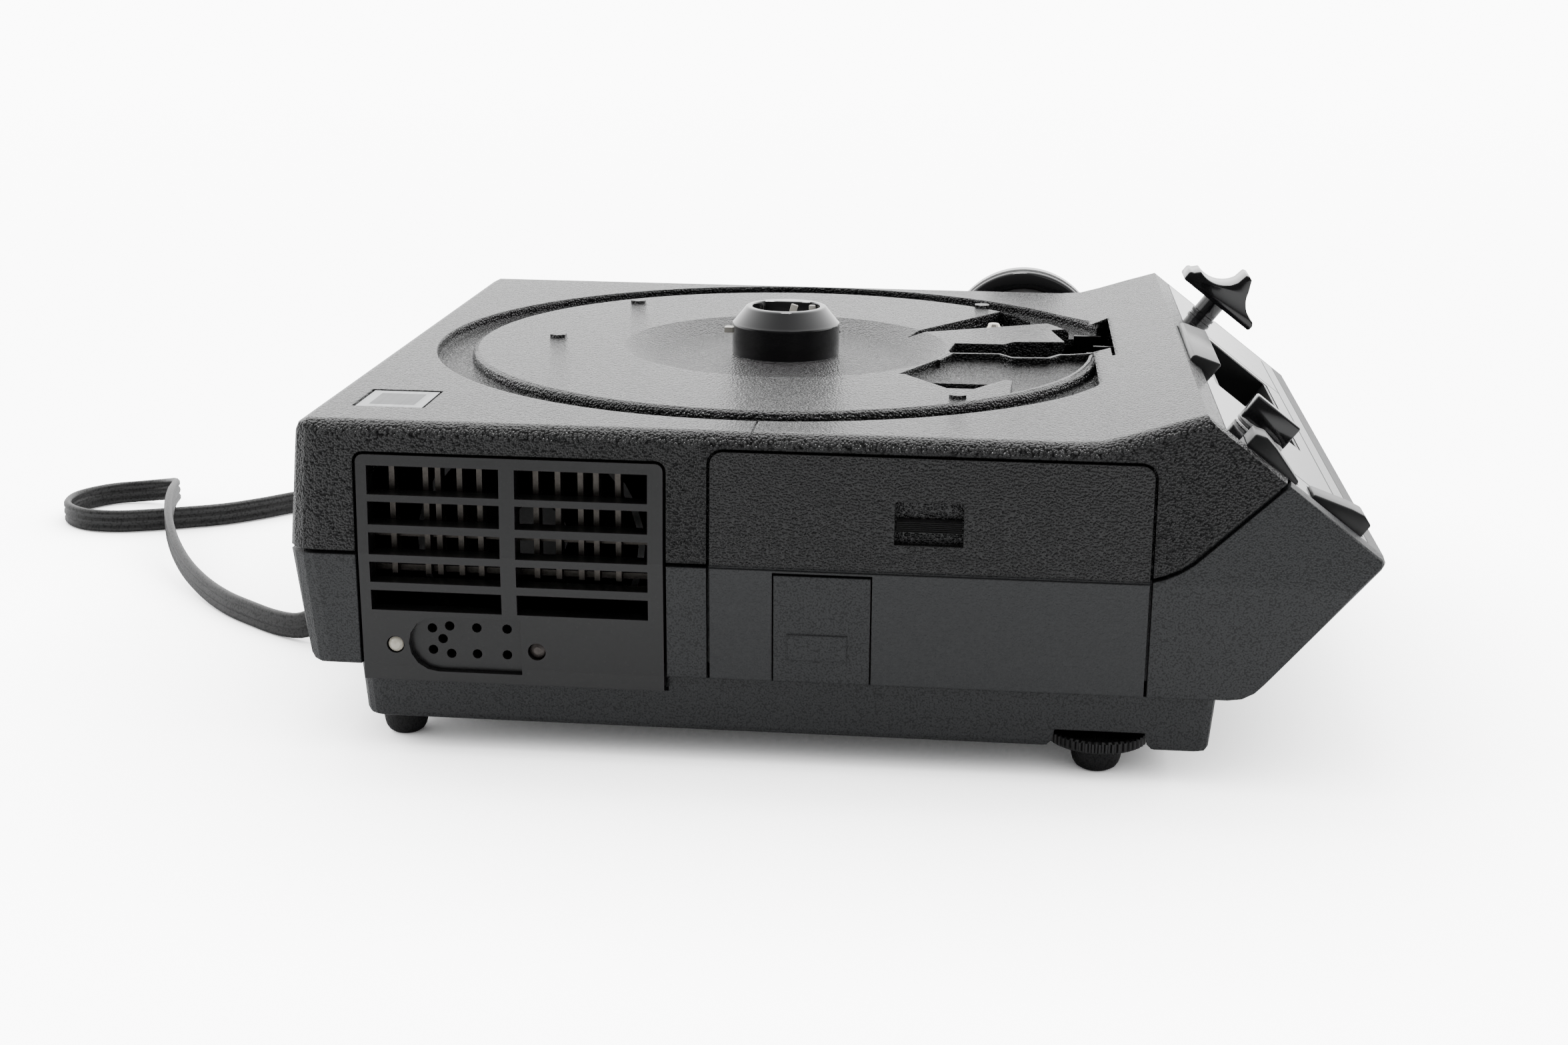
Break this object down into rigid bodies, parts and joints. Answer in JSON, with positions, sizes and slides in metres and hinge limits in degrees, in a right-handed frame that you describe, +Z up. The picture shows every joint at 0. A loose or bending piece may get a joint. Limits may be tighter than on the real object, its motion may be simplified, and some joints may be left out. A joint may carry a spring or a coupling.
{
  "type": "home projector",
  "caption": "Black slide projector with a round tray well, central hub, sloped control panel, side lens, vented lamp end with hinged door, and a coiled mains cord.",
  "frame": {"origin": "centre of the footprint of everything but the free cord, on the surface it stands on", "axes": "+X towards the sloped control panel, +Y the way the lens points, +Z up"},
  "size_m": [0.5389, 0.4466, 0.1287],
  "materials": {
    "upper_shell": "pebble grain",
    "lower_shell": "fine grain",
    "black_plastic": "satin",
    "gloss_black": "gloss",
    "grey_plastic": "satin",
    "white_plastic": "satin",
    "silver": "brushed",
    "steel": "satin",
    "rubber": "matte",
    "pearl": "gloss",
    "optic": "clear",
    "mirror": "polished",
    "board": "matte",
    "cord": "satin"
  },
  "bodies": {
    "body": {"upper_housing": "upper_shell", "lower_housing": "lower_shell", "base_pan": "black_plastic", "rear_foot": "rubber", "vent_grille": "black_plastic", "vent_guard": "steel", "lamp_stud": "pearl", "vent_screw": "steel", "tray_hub": "gloss_black", "tray_key": "white_plastic", "hub_spring": "white_plastic", "gate_pin": "steel", "badge_plate": "silver", "gate_frame": "steel", "gate_guide": "steel", "lens_sleeve": "black_plastic", "lamp_frame": "steel", "lamp_reflector": "mirror", "lamp_bulb": "optic", "lamp_socket": "white_plastic", "condenser_rear": "optic", "heat_glass": "optic", "condenser_front": "optic", "fan_shroud": "black_plastic", "fan_motor": "steel", "chassis": "steel", "cam_post": "steel", "drive_motor": "steel", "solenoid": "steel", "circuit_board": "board", "panel_plate": "gloss_black", "panel_well": "black_plastic", "cord_relief": "rubber", "cord_run": "cord", "cord_coil": "cord", "cord_plug": "cord"},
    "lamp_door": {"lamp_door": "lower_shell"},
    "door_latch": {"door_latch": "black_plastic"},
    "reading_flap": {"reading_flap": "lower_shell"},
    "level_wheel": {"level_wheel": "black_plastic"},
    "level_foot": {"level_foot": "rubber"},
    "stand_wheel": {"stand_wheel": "black_plastic"},
    "stand_foot": {"stand_foot": "rubber"},
    "pressure_plate": {"pressure_plate": "steel"},
    "slide_lifter": {"slide_lifter": "steel"},
    "index_lever": {"index_lever": "steel"},
    "shutter_blade": {"shutter_blade": "steel"},
    "lens": {"lens_barrel": "gloss_black", "front_element": "optic", "rear_element": "optic"},
    "lens_ring": {"lens_ring": "gloss_black"},
    "fan_impeller": {"fan_impeller": "black_plastic"},
    "cycle_cam": {"cycle_cam": "white_plastic"},
    "drive_pinion": {"drive_pinion": "white_plastic"},
    "select_bar": {"select_bar": "grey_plastic"},
    "forward_button": {"forward_button": "gloss_black"},
    "reverse_button": {"reverse_button": "gloss_black"},
    "mode_knob": {"mode_knob": "gloss_black"},
    "focus_knob": {"focus_knob": "gloss_black", "focus_pinion": "white_plastic"}
  },
  "joints": [
    {"name": "door_hinge", "type": "hinge", "parent": "body", "child": "lamp_door", "pos_m": [0.03297, -0.1563, 0.0326], "axis": [1, 0, 0], "range_deg": [0, 80]},
    {"name": "latch_slide", "type": "slide", "parent": "lamp_door", "child": "door_latch", "axis": [0, 0, -1], "range_m": [0, 0.003]},
    {"name": "flap_hinge", "type": "hinge", "parent": "lamp_door", "child": "reading_flap", "pos_m": [-0.00103, -0.1564, 0.066], "axis": [-1, 0, 0], "range_deg": [0, 60]},
    {"name": "level_turn", "type": "hinge", "parent": "body", "child": "level_wheel", "pos_m": [0.08817, -0.137, 0.012], "axis": [0, 0, 1], "range_deg": [0, 1440]},
    {"name": "level_rise", "type": "slide", "parent": "body", "child": "level_foot", "axis": [0, 0, -1], "range_m": [0, 0.008]},
    {"name": "stand_turn", "type": "hinge", "parent": "body", "child": "stand_wheel", "pos_m": [-0.00703, 0.09, 0.008], "axis": [0, 0, 1], "range_deg": [0, 1440]},
    {"name": "stand_rise", "type": "slide", "parent": "body", "child": "stand_foot", "axis": [0, 0, -1], "range_m": [0, 0.008]},
    {"name": "plate_press", "type": "slide", "parent": "body", "child": "pressure_plate", "axis": [0, 1, 0], "range_m": [0, 0.0018], "stiffness_N_per_m": 400},
    {"name": "lifter_drop", "type": "slide", "parent": "body", "child": "slide_lifter", "axis": [0, 0, -1], "range_m": [0, 0.02]},
    {"name": "index_stroke", "type": "slide", "parent": "body", "child": "index_lever", "axis": [-1, 0, 0], "range_m": [0, 0.003]},
    {"name": "shutter_drop", "type": "slide", "parent": "body", "child": "shutter_blade", "axis": [0, 0, -1], "range_m": [0, 0.01]},
    {"name": "lens_focus", "type": "slide", "parent": "body", "child": "lens", "axis": [0, 1, 0], "range_m": [0, 0.012]},
    {"name": "ring_turn", "type": "hinge", "parent": "lens", "child": "lens_ring", "pos_m": [0.06197, 0.15, 0.084], "axis": [0, 1, 0], "range_deg": [-45, 45]},
    {"name": "fan_spin", "type": "hinge", "parent": "body", "child": "fan_impeller", "pos_m": [-0.09903, -0.108, 0.066], "axis": [0, 1, 0], "continuous": true},
    {"name": "cam_spin", "type": "hinge", "parent": "body", "child": "cycle_cam", "pos_m": [-0.00703, 0.042, 0.05], "axis": [0, 0, 1], "continuous": true},
    {"name": "pinion_spin", "type": "hinge", "parent": "body", "child": "drive_pinion", "pos_m": [-0.04703, 0.042, 0.05], "axis": [0, 0, 1], "continuous": true},
    {"name": "select_press", "type": "slide", "parent": "body", "child": "select_bar", "axis": [-0.606, 0, -0.7955], "range_m": [0, 0.002], "stiffness_N_per_m": 300},
    {"name": "forward_press", "type": "slide", "parent": "body", "child": "forward_button", "axis": [-0.606, 0, -0.7955], "range_m": [0, 0.002], "stiffness_N_per_m": 300},
    {"name": "reverse_press", "type": "slide", "parent": "body", "child": "reverse_button", "axis": [-0.606, 0, -0.7955], "range_m": [0, 0.002], "stiffness_N_per_m": 300},
    {"name": "mode_turn", "type": "hinge", "parent": "body", "child": "mode_knob", "pos_m": [0.13626, -0.113, 0.10745], "axis": [0.606, 0, 0.7955], "range_deg": [0, 90]},
    {"name": "focus_turn", "type": "hinge", "parent": "body", "child": "focus_knob", "pos_m": [0.1363, 0.09, 0.11245], "axis": [0.606, 0, 0.7955], "range_deg": [0, 270]}
  ],
  "couplings": [
    {"joint": "level_turn", "follows": "level_rise", "rad_per_m": 3141.5},
    {"joint": "stand_turn", "follows": "stand_rise", "rad_per_m": 3141.5},
    {"joint": "pinion_spin", "follows": "cam_spin", "ratio": -3.3333},
    {"joint": "focus_turn", "follows": "lens_focus", "rad_per_m": 392.6}
  ]
}
